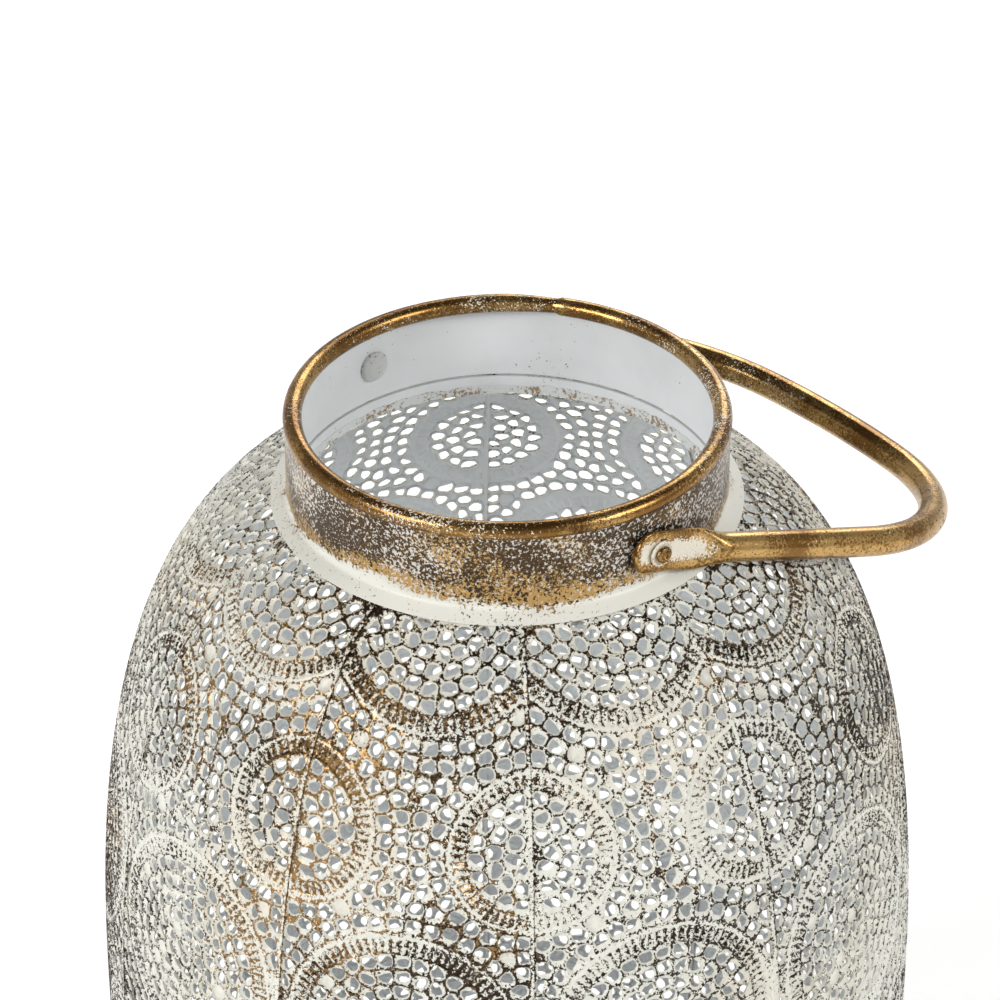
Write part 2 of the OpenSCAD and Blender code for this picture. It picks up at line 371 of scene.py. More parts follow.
def washed_collar_material():
    """Heavy speckle over gold above, bare gold towards the lower edge, and plain wash on the flare."""
    made, tree, shader, place = new_material("speckled collar")
    z = height_of(tree, place)
    edge_noise = tree.sum("MULTIPLY", tree.sum("SUBTRACT", tree.noise(place, 45.0, 3.0), 0.5), 12 * MM)
    level = tree.sum("ADD", z, edge_noise)
    flare_part = tree.ramp(level, sheet_top + 4.6 * MM, sheet_top + 0.8 * MM)
    gold_part = tree.ramp(level, sheet_top + 10.5 * MM, sheet_top + 4.5 * MM)
    bias = tree.sum("ADD", 0.22, tree.sum("MULTIPLY", gold_part, 0.06))
    bias = tree.sum("SUBTRACT", bias, tree.sum("MULTIPLY", flare_part, 0.80))
    cover = rubbed(tree, place, raised_weight=0.0, blotch_scale=30.0, blotch_weight=1.2,
                   fleck_scale=1100.0, fleck_weight=3.0, bias=bias, edge=0.09)
    tarnish = rubbed(tree, place, raised_weight=0.0, blotch_scale=60.0, blotch_weight=1.6,
                     fleck_scale=900.0, fleck_weight=2.8, bias=-0.16, edge=0.10)
    metal_bias = tree.sum("ADD", -0.10, tree.sum("MULTIPLY", gold_part, 0.24))
    metal = old_metal(tree, place, paint(184, 148, 90), paint(74, 56, 34), metal_bias, 46.0)
    bare = tree.blend(tarnish.outputs["Mask"], metal.outputs["Color"], paint(60, 45, 29))
    wash = tree.blend(flare_part, paint(206, 202, 193), CREAM)
    color = tree.blend(cover.outputs["Mask"], wash, bare)
    tree.put(shader.inputs["Base Color"], color)
    tree.put(shader.inputs["Metallic"], tree.sum("MULTIPLY", cover.outputs["Mask"], 0.75))
    polish = tree.sum("MULTIPLY", cover.outputs["Mask"], 0.15)
    tree.put(shader.inputs["Roughness"], tree.sum("SUBTRACT", 0.45, polish))
    height = cover.outputs["Mask"]
    bump = tree.add("ShaderNodeBump", {"Height": height, "Strength": 0.25, "Distance": 0.0002})
    tree.put(shader.inputs["Normal"], bump.outputs["Normal"])
    return made


def gilt_material(name, dark_bias, wash_bias):
    """Brass-gold tube and wire, with dark brown flecks and traces of wash."""
    made, tree, shader, place = new_material(name)
    washed = tree.add("ShaderNodeAttribute", attribute_name="washed").outputs["Fac"]
    metal = old_metal(tree, place, BRASS, paint(126, 90, 44), 0.0, 55.0)
    dark = rubbed(tree, place, raised_weight=0.0, blotch_scale=48.0, blotch_weight=1.3,
                  fleck_scale=1300.0, fleck_weight=1.9, bias=dark_bias, edge=0.07)
    wash = rubbed(tree, place, raised=washed, raised_weight=0.80, blotch_scale=31.0, blotch_weight=1.6,
                  fleck_scale=1500.0, fleck_weight=1.9, bias=wash_bias, edge=0.07)
    color = tree.blend(dark.outputs["Mask"], metal.outputs["Color"], paint(84, 60, 32))
    color = tree.blend(wash.outputs["Mask"], color, paint(226, 218, 200))
    tree.put(shader.inputs["Base Color"], color)
    bare = tree.sum("SUBTRACT", 1.0, wash.outputs["Mask"], clamp=True)
    tree.put(shader.inputs["Metallic"], tree.sum("MULTIPLY", bare, 0.92))
    dulling = tree.sum("MULTIPLY", dark.outputs["Mask"], 0.2)
    tree.put(shader.inputs["Roughness"], tree.sum("ADD", 0.24, dulling))
    height = tree.sum("SUBTRACT", wash.outputs["Mask"], dark.outputs["Mask"])
    bump = tree.add("ShaderNodeBump", {"Height": height, "Strength": 0.2, "Distance": 0.0002})
    tree.put(shader.inputs["Normal"], bump.outputs["Normal"])
    return made


def rough_edge_material():
    """Cut and spot-welded sheet edges with paint over rust; round each rivet head's edge the same finish is
    a painted dark ring of shade.
    """
    made, tree, shader, place = new_material("rough welded edge and rivet rim shade")
    rust = rubbed(tree, place, raised_weight=0.0, blotch_scale=120.0, blotch_weight=1.6,
                  fleck_scale=900.0, fleck_weight=2.0, bias=-0.16, edge=0.12)
    color = tree.blend(rust.outputs["Mask"], paint(200, 202, 200), paint(140, 120, 96))
    tree.put(shader.inputs["Base Color"], color)
    tree.put(shader.inputs["Roughness"], tree.ramp(rust.outputs["Mask"], -2.0, 1.6))
    lumps = tree.noise(place, 420.0, 4.0)
    bump = tree.add("ShaderNodeBump", {"Height": lumps, "Strength": 0.7, "Distance": 0.0006})
    tree.put(shader.inputs["Normal"], bump.outputs["Normal"])
    return made


def glass_material():
    made, tree, shader, place = new_material("clear glass")
    shader.inputs["Base Color"].default_value = (0.95, 0.98, 0.98, 1)
    shader.inputs["Transmission Weight"].default_value = 1.0
    shader.inputs["IOR"].default_value = 1.5
    smear = tree.noise(place, 60.0, 3.0)
    tree.put(shader.inputs["Roughness"], tree.sum("MULTIPLY", tree.ramp(smear, 0.45, 0.8), 0.06))
    return made


gore_skin = washed_gore_material()
body_inside = inner_paint_material("inner grey paint darkened for shade", INNER_GREY_SHADED, -0.62)
collar_skin = washed_collar_material()
collar_inside = inner_paint_material("collar inner paint", COLLAR_GREY, -0.40)
rivet_shade_paint = inner_paint_material("rivet head paint darkened as shade", RIVET_SHADE_GREY, -0.26)
handle_gold = gilt_material("old gold tube", -0.34, -0.42)
bead_gold = gilt_material("flecked gold wire", -0.20, -0.36)
weld_edge_and_rim_shade = rough_edge_material()
clear_glass = glass_material()


# ---------------------------------------------------------------------------------------------
# Shaping helpers
# ---------------------------------------------------------------------------------------------
def only(piece):
    bpy.ops.object.select_all(action="DESELECT")
    piece.select_set(True)
    bpy.context.view_layer.objects.active = piece


def settle(piece, body, stands_for=()):
    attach(piece, body)
    if stands_for:
        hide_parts(*stands_for)


def put_in_place(piece):
    """Moves the piece's place into its mesh, so that its own origin is the row's."""
    only(piece)
    bpy.ops.object.transform_apply(location=True, rotation=True, scale=True)


def smooth(piece, degrees=35):
    only(piece)
    bpy.ops.object.shade_smooth_by_angle(angle=math.radians(degrees))


def new_piece(name, verts, faces, materials):
    mesh = bpy.data.meshes.new(name)
    mesh.from_pydata(verts, [], faces)
    piece = bpy.data.objects.new(name, mesh)
    bpy.context.scene.collection.objects.link(piece)
    for material in materials:
        mesh.materials.append(material)
    return piece


def turned(name, rings, around=128):
    """A piece turned about the upright axis: a circle, drawn out ring by ring round a closed outline."""
    first_r, first_z = rings[0]
    bpy.ops.mesh.primitive_circle_add(vertices=around, radius=first_r, location=(0, 0, first_z))
    piece = bpy.context.object
    piece.name = name
    put_in_place(piece)
    bpy.ops.object.mode_set(mode="EDIT")
    bpy.ops.mesh.select_all(action="SELECT")
    r, z = first_r, first_z
    for next_r, next_z in rings[1:] + rings[:1]:
        bpy.ops.mesh.extrude_edges_move(TRANSFORM_OT_translate={"value": (0, 0, next_z - z)})
        ratio = next_r / r
        bpy.ops.transform.resize(value=(ratio, ratio, 1), center_override=(0, 0, next_z))
        r, z = next_r, next_z
    bpy.ops.mesh.select_all(action="SELECT")
    bpy.ops.mesh.remove_doubles(threshold=0.02 * MM)
    bpy.ops.mesh.normals_make_consistent(inside=False)
    bpy.ops.object.mode_set(mode="OBJECT")
    return piece


def rounded(corner_list, steps=4):
    """An outline with each corner (r, z, radius) rounded by an arc, in millimetres, as rings in metres."""
    points = []
    count = len(corner_list)
    for i, (r, z, radius) in enumerate(corner_list):
        here = Vector((r, z))
        before = Vector(corner_list[i - 1][:2]) - here
        after = Vector(corner_list[(i + 1) % count][:2]) - here
        if radius == 0:
            points.append(here * MM)
            continue
        half = before.angle(after) / 2
        reach = min(radius / math.tan(half), 0.49 * before.length, 0.49 * after.length)
        start, end = here + before.normalized() * reach, here + after.normalized() * reach
        for k in range(steps + 1):
            t = k / steps
            points.append(((1 - t) ** 2 * start + 2 * t * (1 - t) * here + t * t * end) * MM)
    return [(max(p.x, 0.01 * MM), p.y) for p in points]


# ---------------------------------------------------------------------------------------------
# The body's outline, and the way from flat sheet to formed gore
# ---------------------------------------------------------------------------------------------
SHEET_T = 0.55 * MM
RELIEF_TOP = 0.1 * MM
NECK_EDGE_R = 62.2 * MM
OUTLINE_HALF_H = 180.0 * MM


def outline_tables():
    """Radius, height and outward direction along the gore, by the distance s down from the neck edge."""
    phi_top = math.acos((NECK_EDGE_R / sheet_r) ** 2)
    belly_z = sheet_top - OUTLINE_HALF_H * math.sin(phi_top) ** 0.8
    phi_foot = -math.asin(((belly_z - sheet_foot) / OUTLINE_HALF_H) ** 1.25)
    phi = np.linspace(phi_top, phi_foot, 1400)
    r = sheet_r * np.sqrt(np.cos(phi))
    z = belly_z + OUTLINE_HALF_H * np.sign(phi) * np.abs(np.sin(phi)) ** 0.8
    s = np.concatenate([[0], np.cumsum(np.hypot(np.diff(r), np.diff(z)))])
    slope_r, slope_z = np.gradient(r, s), np.gradient(z, s)
    kernel = np.ones(41) / 41
    out_r = np.convolve(np.pad(-slope_z, 20, mode="edge"), kernel, "valid")
    out_z = np.convolve(np.pad(slope_r, 20, mode="edge"), kernel, "valid")
    return s, r, z, out_r, out_z


line_s, line_r, line_z, line_out_r, line_out_z = outline_tables()
GORE_LENGTH = line_s[-1] / MM
HALF_ANGLE = math.pi / GORES


def half_width(s):
    """Half the gore's width in the flat, in millimetres, at s millimetres down from the neck edge."""
    return HALF_ANGLE * np.interp(np.asarray(s) * MM, line_s, line_r) / MM


def formed(u, s, lift, centre_angle):
    """Places flat-sheet points (millimetres) on the formed gore."""
    s = np.clip(np.asarray(s) * MM, 0, line_s[-1])
    lift = np.asarray(lift) * MM - RELIEF_TOP
    base_r = np.interp(s, line_s, line_r)
    angle = centre_angle + np.asarray(u) * MM / base_r
    r = base_r + lift * np.interp(s, line_s, line_out_r)
    z = np.interp(s, line_s, line_z) + lift * np.interp(s, line_s, line_out_z)
    return np.stack([r * np.cos(angle), r * np.sin(angle), z], axis=1)


# ---------------------------------------------------------------------------------------------
# The pierced pattern on one flat gore, in millimetres: u across, s down from the neck edge
# ---------------------------------------------------------------------------------------------
PITCH = 4.9
ROW_STEP = 4.75
BIG = {"inner": 28.5, "rib_end": 32.5, "outer": 34.2, "ribs": 84}
SMALL = {"inner": 18.0, "rib_end": 21.6, "outer": 23.2, "ribs": 58}
BIG_AT = [3.0, 127.0, 254.0, 378.0]
SMALL_AT = [67.0, 191.0, 316.0]
SEAM_STRIP = 0.8
LAP = 1.0
LAP_DEPTH = 1.15
TOP_BAND = 3.6
FOOT_BAND = 8.0
SIDES = 12
BLIND_SHARE = 0.035
RIDGE_HALF = 0.13
DISH_DEPTH = 0.50
HOLE_DEPTH = 0.75
BLIND_DEPTH = 0.8


def medallions():
    """Every ribbed circle on the gore: (centre, sizes). The small ones stand on the seams."""
    rings = [(np.array([0.0, s]), BIG) for s in BIG_AT]
    for s in SMALL_AT:
        w = float(half_width(s))
        rings += [(np.array([-w, s]), SMALL), (np.array([w, s]), SMALL)]
    return rings


def row_of(centre, radius, phase):
    count = max(1, round(FULL_TURN * radius / (PITCH * 1.03)))
    angles = (np.arange(count) + phase) * FULL_TURN / count
    return centre + radius * np.stack([np.cos(angles), np.sin(angles)], axis=1)


def gather_cells(rings, dice):
    """Middles of all cells: concentric rows inside each circle, and rows round the circles outside."""
    kept, side, home = [], [], []

    def far_enough(p, gap):
        return not kept or np.min(np.hypot(*(np.array(kept) - p).T)) > gap

    def on_sheet(p):
        w = half_width(p[1])
        return (TOP_BAND + 1.4 < p[1] < GORE_LENGTH - FOOT_BAND - 1.4
                and -w + 0.5 < p[0] < w - SEAM_STRIP - 0.7)

    for which, (centre, sizes) in enumerate(rings):
        radius, row = sizes["inner"] - 2.6, 0
        while radius > -1:
            for p in row_of(centre, max(radius, 0.01), 0.5 * (row % 2)):
                if on_sheet(p) and far_enough(p, 0.6 * PITCH):
                    kept.append(p + dice.uniform(-0.4, 0.4, 2))
                    side.append(-1)
                    home.append(which)
            radius -= ROW_STEP
            row += 1
    for row in range(9):
        for which, (centre, sizes) in enumerate(rings):
            radius = sizes["outer"] + 2.5 + row * ROW_STEP
            for p in row_of(centre, radius, 0.5 * (row % 2)):
                gaps = [np.hypot(*(p - c)) - z["outer"] for c, z in rings]
                if gaps[which] > min(gaps) + 1.0 or min(gaps) < 2.0 or not on_sheet(p):
                    continue
                if far_enough(p, 0.8 * PITCH):
                    kept.append(p + dice.uniform(-0.45, 0.45, 2))
                    side.append(1)
                    home.append(which)
    return np.array(kept), np.array(side), np.array(home)


def cell_reach(p, near, own_side, own_ring, rings, rays):
    """How far the cell around p may reach along each ray."""
    reach = np.full(len(rays), 3.3)
    for q in near:
        gap = q - p
        along = rays @ gap
        with np.errstate(divide="ignore"):
            halfway = gap @ gap / 2 / np.maximum(along, 1e-6)
            reach = np.where(along > 1e-6, np.minimum(reach, halfway), reach)
    for which, (centre, sizes) in enumerate(rings):
        away = p - centre
        if np.hypot(*away) > sizes["outer"] + 8:
            continue
        along = rays @ away
        if own_side < 0 and which == own_ring:
            edge = along ** 2 - (away @ away - (sizes["inner"] - 0.15) ** 2)
            reach = np.minimum(reach, -along + np.sqrt(np.maximum(edge, 0)))
        else:
            edge = along ** 2 - (away @ away - (sizes["outer"] + 0.15) ** 2)
            hit = (edge > 0) & (along < 0)
            reach = np.where(hit, np.minimum(reach, -along - np.sqrt(np.maximum(edge, 0))), reach)
    w, lean = float(half_width(p[1])), float(half_width(p[1] + 0.5) - half_width(p[1] - 0.5))
    for limit, sign, slope in ((w - SEAM_STRIP, 1, lean), (-w + 0.1, -1, -lean)):
        run = rays[:, 0] - slope * rays[:, 1]
        toward = run * sign > 1e-6
        reach = np.where(toward, np.minimum(reach, (limit - p[0]) / np.where(toward, run, 1.0)), reach)
    for limit, sign in ((TOP_BAND, -1), (GORE_LENGTH - FOOT_BAND, 1)):
        run = rays[:, 1] * sign
        toward = run > 1e-6
        edge_at = (limit - p[1]) * sign / np.where(toward, run, 1.0)
        reach = np.where(toward, np.minimum(reach, edge_at), reach)
    return np.maximum(reach, 0.25)


class FlatSheet:
    """Points and closed loops of the flat gore, with each point's lift and how far it is rubbed."""

    def __init__(self):
        self.points, self.lift, self.raised, self.holes = [], [], [], []

    def add(self, point, lift, raised):
        self.points.append(Vector((float(point[0]), float(point[1]))))
        self.lift.append(lift)
        self.raised.append(raised)
        return len(self.points) - 1

    def loop(self, points, lift, raised):
        return [self.add(p, lift, raised) for p in points]


def draw_cells(sheet, rings, dice):
    """Each cell is a dish with a ridge round it and a D-shaped hole, its flat side towards the ribs."""
    middles, sides, homes = gather_cells(rings, dice)
    angles = (np.arange(SIDES) + 0.5) * FULL_TURN / SIDES
    rays = np.stack([np.cos(angles), np.sin(angles)], axis=1)
    loops = []

    def reach_of(i):
        p = middles[i]
        span = np.hypot(*(middles - p).T)
        near = middles[(span > 0.01) & (span < 8.5)]
        return cell_reach(p, near, sides[i], homes[i], rings, rays)

    for _ in range(2):
        for i in range(len(middles)):
            reach = reach_of(i)
            middles[i] += 0.6 * 2 / 3 * (rays * reach[:, None] ** 3).sum(axis=0) / (reach ** 2).sum()
    for i, p in enumerate(middles):
        reach = reach_of(i)
        eased = (np.roll(reach, 1) + 2 * reach + np.roll(reach, -1)) / 4
        ridge = np.minimum(reach - RIDGE_HALF, eased - RIDGE_HALF)
        ridge = np.maximum(ridge, 0.12)
        mean = ridge.mean()
        toward = (p - rings[homes[i]][0]) * (-sides[i])
        toward = toward / max(np.hypot(*toward), 1e-6)
        flat = (0.12 + 0.36 * dice.random()) * mean
        lean = dice.uniform(-0.9, 0.9)
        toward = np.array([toward[0] * math.cos(lean) - toward[1] * math.sin(lean),
                           toward[0] * math.sin(lean) + toward[1] * math.cos(lean)])
        facing = rays @ toward
        hole = ridge * (0.70 + 0.16 * dice.random())
        hole = np.where(facing > 0.15, np.minimum(hole, flat / np.maximum(facing, 0.15)), hole)
        hole = np.minimum(hole, ridge - 0.35)
        hole = np.maximum(hole, 0.3 * ridge)
        blind = mean < 1.25 or dice.random() < BLIND_SHARE
        loops.append(sheet.loop(p + rays * ridge[:, None], 0.0, 1.0))
        dish = hole + (ridge - hole) * 0.62
        sheet.loop(p + rays * dish[:, None], -DISH_DEPTH, 0.40)
        rim = sheet.loop(p + rays * hole[:, None], -HOLE_DEPTH, 0.0)
        if blind:
            sheet.add(p, -BLIND_DEPTH, 0.0)
        else:
            sheet.holes.append(rim)
    return loops


def draw_ribs(sheet, rings):
    """The unpierced ring round each circle: radial ribs, then a smooth raised band."""
    for centre, sizes in rings:
        inner, rib_end, outer = sizes["inner"], sizes["rib_end"], sizes["outer"]
        stations = [(inner + 0.1, -0.30, -0.50, 0.9, 1.0), (inner + 0.5, 0.0, -0.65, 0.45, 1.1),
                    (rib_end - 0.3, 0.0, -0.65, 0.45, 1.1), (rib_end + 0.1, -0.22, -0.40, 0.5, 0.85),
                    ((rib_end + outer) / 2 + 0.1, 0.0, 0.0, 0.25, 0.25),
                    (outer - 0.2, -0.25, -0.25, 0.7, 0.7)]
        for k in range(2 * sizes["ribs"]):
            a = FULL_TURN * k / (2 * sizes["ribs"])
            ray = np.array([math.cos(a), math.sin(a)])
            for radius, top, valley, top_rub, valley_rub in stations:
                p = centre + radius * ray
                w = float(half_width(p[1]))
                if TOP_BAND < p[1] < GORE_LENGTH - FOOT_BAND and -w + 0.1 < p[0] < w - SEAM_STRIP - 0.1:
                    sheet.add(p, valley if k % 2 else top, valley_rub if k % 2 else top_rub)


def draw_edges(sheet):
    """The outline with its two seams: a smooth raised strip on one side, a tucked-in lap on the other."""
    rows = np.linspace(0, GORE_LENGTH, 250)
    width = half_width(rows)
    wave = 0.10 * np.sin(rows / 9.0) + 0.08 * np.sin(rows / 3.7 + 1.0)
    right = [sheet.add((w, s), max(v, -0.06) - 0.05, 0.85) for s, w, v in zip(rows, width, wave)]
    left = [sheet.add((-w - LAP, s), -LAP_DEPTH, 0.0) for s, w in zip(rows, width)]
    for s, w in zip(rows, width):
        sheet.add((w - 0.3, s), -0.05, 0.55)
        sheet.add((w - SEAM_STRIP + 0.1, s), -0.22, 0.40)
        sheet.add((-w - 0.1, s), -0.55, 1.1)
        sheet.add((-w - 0.55, s), -LAP_DEPTH, 0.0)
    across = np.linspace(0, 1, 28)[1:-1]
    top, foot = [], []
    for end, s, w in ((top, 0, width[0]), (foot, GORE_LENGTH, width[-1])):
        for t in across:
            end.append(sheet.add((-w - LAP + t * (2 * w + LAP), s), -0.4 if t > 0.1 else -LAP_DEPTH, 0.0))
    for edge in (TOP_BAND - 0.5, GORE_LENGTH - FOOT_BAND + 0.5):
        w = float(half_width(edge))
        for u in np.linspace(-w + 0.5, w - SEAM_STRIP - 0.3, 30):
            sheet.add((u, edge), -0.3, 0.1)
    return right + foot[::-1] + left[::-1] + top


def triangulate(sheet, outline, ridges):
    """Fills the outline with triangles round the holes. Returns points, triangles and points' sources."""
    loops = sheet.holes + [outline] + ridges
    outline_index = len(sheet.holes)
    points, _, faces, source, _, inside = delaunay_2d_cdt(sheet.points, [], loops, 0, 1e-5, True)
    kept = [f for f, within in zip(faces, inside)
            if outline_index in within and not any(w < outline_index for w in within)]
    return points, kept, source


def make_master_gore():
    dice = np.random.default_rng(11)
    rings = medallions()
    sheet = FlatSheet()
    ridges = draw_cells(sheet, rings, dice)
    draw_ribs(sheet, rings)
    outline = draw_edges(sheet)
    points, faces, source = triangulate(sheet, outline, ridges)
    pick = [src[0] if src else -1 for src in source]
    lift = np.array([sheet.lift[k] if k >= 0 else 0.0 for k in pick])
    raised = np.array([sheet.raised[k] if k >= 0 else 1.0 for k in pick])
    flat = np.array([(p.x, p.y) for p in points])
    used = sorted({v for f in faces for v in f})
    order = {v: n for n, v in enumerate(used)}
    place = formed(flat[used, 0], flat[used, 1], lift[used], 0.0)
    faces = [[order[v] for v in reversed(f)] for f in faces]
    gore = new_piece("gore_master", place.tolist(), faces, [gore_skin, body_inside])
    gore.data.attributes.new("raised", "FLOAT", "POINT").data.foreach_set("value", raised[used])
    only(gore)
    wall = gore.modifiers.new("sheet thickness", "SOLIDIFY")
    wall.thickness = SHEET_T
    wall.offset = -1
    wall.use_even_offset = False
    wall.material_offset = 1
    bpy.ops.object.modifier_apply(modifier=wall.name)
    smooth(gore, 50)
    return gore


def make_gores():
    master = make_master_gore()
    for i, node in enumerate(gore_nodes):
        mesh = master.data.copy()
        turn = math.radians(-90) + FULL_TURN / GORES * (i + 0.5)
        mesh.transform(Matrix.Rotation(turn, 4, "Z"))
        piece = bpy.data.objects.new(node + "_pierced", mesh)
        bpy.context.scene.collection.objects.link(piece)
        settle(piece, "lantern", [node])
    bpy.data.objects.remove(master)


# ---------------------------------------------------------------------------------------------
# Collar, rim bead and hoops
# ---------------------------------------------------------------------------------------------
def shoulder_height(r_mm):
    """Height of the shoulder, in millimetres, at a radius near the neck."""
    upper = line_s < 40 * MM
    return float(np.interp(r_mm * MM, line_r[upper], line_z[upper])) / MM


COLLAR_AROUND = 288


def make_collar():
    top = rim_z / MM
    out_r, in_r = collar_r / MM, (collar_r - collar_t) / MM
    foot = shoulder_height(NECK_EDGE_R / MM)
    edge_r = flare_r / MM - 0.02
    corners = [(in_r, top, 0), (in_r, foot - 0.25, 0.2), (out_r - 0.3, foot - 0.25, 0.2),
               (out_r + 0.6, shoulder_height(out_r + 0.6) + 0.1, 0),
               (edge_r - 2.5, shoulder_height(edge_r - 2.5) + 0.1, 0),
               (edge_r - 0.1, shoulder_height(edge_r) + 0.08, 0.1),
               (edge_r, shoulder_height(edge_r) + 0.30, 0.2),
               (edge_r - 2.6, shoulder_height(edge_r - 2.6) + 0.75, 1.2), (out_r + 0.1, foot + 1.1, 4.0),
               (out_r, foot + 6.5, 0), (out_r, top, 0)]
    collar = turned("collar_band", rounded(corners, 5), COLLAR_AROUND)
    collar.data.materials.append(collar_skin)
    collar.data.materials.append(collar_inside)
    for face in collar.data.polygons:
        c = face.center
        if math.hypot(c.x, c.y) < collar_r - 0.7 * collar_t:
            face.material_index = 1
    for v in collar.data.vertices:
        angle = math.atan2(v.co.y, v.co.x)
        sway = 1 + 0.0009 * math.sin(3 * angle + 0.6) + 0.0006 * math.sin(7 * angle)
        dent = 0.9975 if abs(angle) < 0.006 and v.co.z > foot * MM + 3 * MM else 1.0
        v.co.x *= min(sway, 1.0) * dent
        v.co.y *= min(sway, 1.0) * dent
    smooth(collar, 40)
    settle(collar, "lantern", ["collar"])


BEAD_JOINT = math.radians(36)


def make_rim_bead():
    """Round wire bent to a ring. Its two ends butt with a small step."""
    bpy.ops.mesh.primitive_torus_add(major_radius=bead_centre_r, minor_radius=bead_r - 0.02 * MM,
                                     major_segments=360, minor_segments=28, location=(0, 0, rim_z))
    bead = bpy.context.object
    bead.name = "rim_bead"
    put_in_place(bead)
    for v in bead.data.vertices:
        angle = math.atan2(v.co.y, v.co.x)
        past = (angle - BEAD_JOINT + math.pi) % FULL_TURN - math.pi
        middle = Vector((math.cos(angle) * bead_centre_r, math.sin(angle) * bead_centre_r, rim_z))
        size = 1.0
        if abs(past) < math.radians(0.5):
            size = 0.72
        elif 0 < past < math.radians(14):
            size = 0.80 + 0.20 * past / math.radians(14)
        v.co = middle + (v.co - middle) * size
    bead.data.materials.append(bead_gold)
    smooth(bead, 60)
    settle(bead, "lantern", ["rim_ring"])


def make_neck_hoop():
    """A plain hoop, and under it the ragged, spot-welded edge of the gores."""
    low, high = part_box("neck_hoop")
    out_r, top, foot = high.x / MM, high.z / MM, low.z / MM
    in_r = out_r - 1.15
    corners = [(in_r, foot + 3.4, 0.2), (out_r, foot + 3.4, 0.2),
               (out_r, top - 0.3, 0.2), (in_r, top - 0.3, 0.3)]
    hoop = turned("neck_hoop_band", rounded(corners, 3), 192)
    hoop.data.materials.append(collar_inside)
    smooth(hoop, 40)
    settle(hoop, "lantern", ["neck_hoop"])

    dice = random.Random(5)
    around = 360
    ragged, value = [], 0.0
    for _ in range(around):
        value = 0.7 * value + dice.uniform(-0.55, 0.55)
        ragged.append(value)
    edge = turned("ragged_sheet_edge", rounded(
        [(in_r - 0.15, foot + 1.2, 0.1), (out_r - 0.1, foot + 1.2, 0.1), (out_r - 0.1, foot + 4.2, 0.1),
         (in_r - 0.15, foot + 4.2, 0.1)], 2), around)
    for v in edge.data.vertices:
        k = round(math.atan2(v.co.y, v.co.x) / FULL_TURN * around) % around
        if v.co.z > (foot + 2.5) * MM:
            v.co.z += 0.55 * ragged[k] * MM
        else:
            v.co.z += max(0.45 * ragged[(k + 77) % around], -0.8) * MM
    edge.data.materials.append(weld_edge_and_rim_shade)
    smooth(edge, 40)
    settle(edge, "lantern")


def make_base():
    low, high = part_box("base_hoop")
    foot = plate_t / MM
    top = high.z / MM
    inner = []
    for z in np.linspace(top, foot + 0.05, 6):
        lower = line_z < 60 * MM
        r = float(np.interp(-z * MM, -line_z[lower], line_r[lower])) / MM
        inner.append((r - 2.0, z))
    corners = [(r, z, 0) for r, z in inner] + [(r - 0.9, z, 0) for r, z in reversed(inner)]
    hoop = turned("base_hoop_band", rounded(corners), 160)
    hoop.data.materials.append(body_inside)
    smooth(hoop, 40)
    settle(hoop, "lantern", ["base_hoop"])

    r = plate_r / MM
    ring_in, ring_top = 46.5, plate_high.z / MM
    corners = [(0.02, 0, 0), (r, 0, 0.5), (r, foot, 0.5), (ring_in + 2.3, foot, 0.8),
               (ring_in + 1.7, ring_top, 0.6), (ring_in + 0.3, ring_top, 0.6),
               (ring_in, foot, 0.5), (0.02, foot, 0)]
    plate = turned("base_dish", rounded(corners, 4), 160)
    plate.data.materials.append(body_inside)
    plate.data.materials.append(gore_skin)
    for face in plate.data.polygons:
        if face.center.z < 0.6 * plate_t:
            face.material_index = 1
    smooth(plate, 40)
    settle(plate, "lantern", ["base_plate"])


# ---------------------------------------------------------------------------------------------
# Handle and rivets
# ---------------------------------------------------------------------------------------------
TUBE_R = 4.3
REST_TILT = math.radians(17.7)
LEG_START = 62.9
LEG_SPLAY = math.radians(7.2)
REACH = 136.0
ARCH_R = 180.0
CORNER_R = 54.0
TAB_T = 2.1
TAB_HALF_W = 6.3
TAB_END = 9.0
TAB_FLAT = 12.0
TAB_FULL = 23.0
TAB_GAP = 0.65
TAB_MID = collar_r / MM + TAB_GAP + TAB_T / 2


def bail_line():
    """Points along half the handle in its own plane: u away from the pivot, s to one side."""
    along = np.array([math.cos(LEG_SPLAY), math.sin(LEG_SPLAY)])
    inward = np.array([math.sin(LEG_SPLAY), -math.cos(LEG_SPLAY)])
    arch_centre = np.array([REACH - ARCH_R, 0.0])
    start = np.array([0.0, LEG_START]) + CORNER_R * inward - arch_centre
    dot = start @ along
    leg = -dot + math.sqrt(dot ** 2 - start @ start + (ARCH_R - CORNER_R) ** 2)
    corner = np.array([0.0, LEG_START]) + CORNER_R * inward + leg * along
    corner_from = math.pi / 2 + LEG_SPLAY
    arch_from = math.atan2(*(corner - arch_centre)[::-1])
    line = []
    stretches = (np.linspace(-TAB_END, -3.5, 10), np.linspace(-2.5, 26, 40), np.linspace(28, 66, 14))
    for u in np.concatenate(stretches):
        line.append((u, max(TAB_MID, LEG_START + u * math.tan(LEG_SPLAY))))
    for k in range(1, 30):
        a = corner_from + (arch_from - corner_from) * k / 30
        line.append(tuple(corner + CORNER_R * np.array([math.cos(a), math.sin(a)])))
    for k in range(0, 31):
        a = arch_from * (1 - k / 30)
        line.append(tuple(arch_centre + ARCH_R * np.array([math.cos(a), math.sin(a)])))
    return line + [(u, -s) for u, s in line[-2::-1]]


def ease(x):
    t = max(0.0, min(1.0, x))
    return t * t * (3 - 2 * t)


